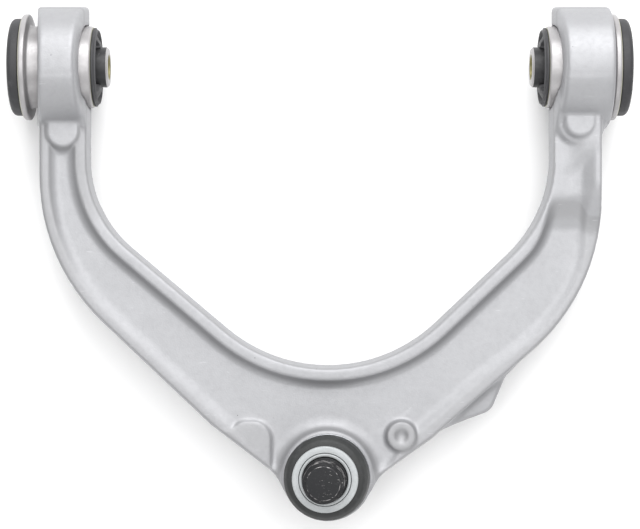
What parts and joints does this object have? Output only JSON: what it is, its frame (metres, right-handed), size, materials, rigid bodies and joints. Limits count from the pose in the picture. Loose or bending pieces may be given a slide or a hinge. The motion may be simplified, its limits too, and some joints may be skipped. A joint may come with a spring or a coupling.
{
  "type": "suspension control arm",
  "caption": "Forged aluminium upper control arm: a U-shaped wishbone with a rubber bushing in each eye and a ball joint at its tip.",
  "frame": {"origin": "centre of the overall box in plan, on the plane that the two eyes rest on", "axes": "+X along the bushing axis, +Y from the ball joint towards the bushings, +Z along the ball stud, up from the resting plane"},
  "size_m": [0.322, 0.2684, 0.092],
  "materials": {
    "forged_aluminium": "shot-blasted forging, light grey, satin",
    "zinc_plated_steel": "clear zinc plating, semi-gloss",
    "black_rubber": "moulded black rubber, matt",
    "coated_steel": "black coat outside, bare zinc ends, yellow bore",
    "phosphated_steel": "black phosphate",
    "seat_polymer": "natural bearing polymer",
    "spring_steel": "oiled spring steel"
  },
  "bodies": {
    "arm": {"arm_forging": "forged_aluminium", "front_bushing_outer_sleeve": "zinc_plated_steel", "front_bushing_rubber_element": "black_rubber", "front_bushing_thrust_bumper": "black_rubber", "rear_bushing_outer_sleeve": "zinc_plated_steel", "rear_bushing_rubber_element": "black_rubber", "rear_bushing_thrust_bumper": "black_rubber", "ball_seat_upper": "seat_polymer", "ball_seat_lower": "seat_polymer", "preload_washer": "spring_steel", "cover_plate": "zinc_plated_steel", "snap_ring": "spring_steel", "boot_clamp_lower": "spring_steel"},
    "front_inner_sleeve": {"front_bushing_inner_sleeve": "coated_steel"},
    "rear_inner_sleeve": {"rear_bushing_inner_sleeve": "coated_steel"},
    "boot": {"dust_boot": "black_rubber"},
    "seal_rings": {"seal_ring": "zinc_plated_steel", "seal_ring_insert": "zinc_plated_steel", "boot_clamp_upper": "spring_steel"},
    "stud": {"ball_stud": "phosphated_steel"}
  },
  "joints": [
    {"name": "front_bushing_twist", "type": "hinge", "parent": "arm", "child": "front_inner_sleeve", "pos_m": [-0.1353, 0.1025, 0.0317], "axis": [1, 0, 0], "range_deg": [-20, 20], "stiffness_Nm_per_rad": 30},
    {"name": "rear_bushing_twist", "type": "hinge", "parent": "arm", "child": "rear_inner_sleeve", "pos_m": [0.1353, 0.1025, 0.0317], "axis": [1, 0, 0], "range_deg": [-20, 20], "stiffness_Nm_per_rad": 30},
    {"name": "stud_tilt_x", "type": "hinge", "parent": "arm", "child": "boot", "pos_m": [0.0039, -0.1108, 0.0337], "axis": [1, 0, 0], "range_deg": [-16.5, 19.5], "deforming": ["dust_boot"]},
    {"name": "stud_tilt_y", "type": "hinge", "parent": "boot", "child": "seal_rings", "pos_m": [0.0039, -0.1108, 0.0337], "axis": [0, 1, 0], "range_deg": [-15.7, 20.3], "deforming": ["dust_boot"]},
    {"name": "stud_spin", "type": "hinge", "parent": "seal_rings", "child": "stud", "pos_m": [0.0039, -0.1108, 0.0337], "axis": [-0.0401, 0.0262, 0.9989], "continuous": true}
  ]
}
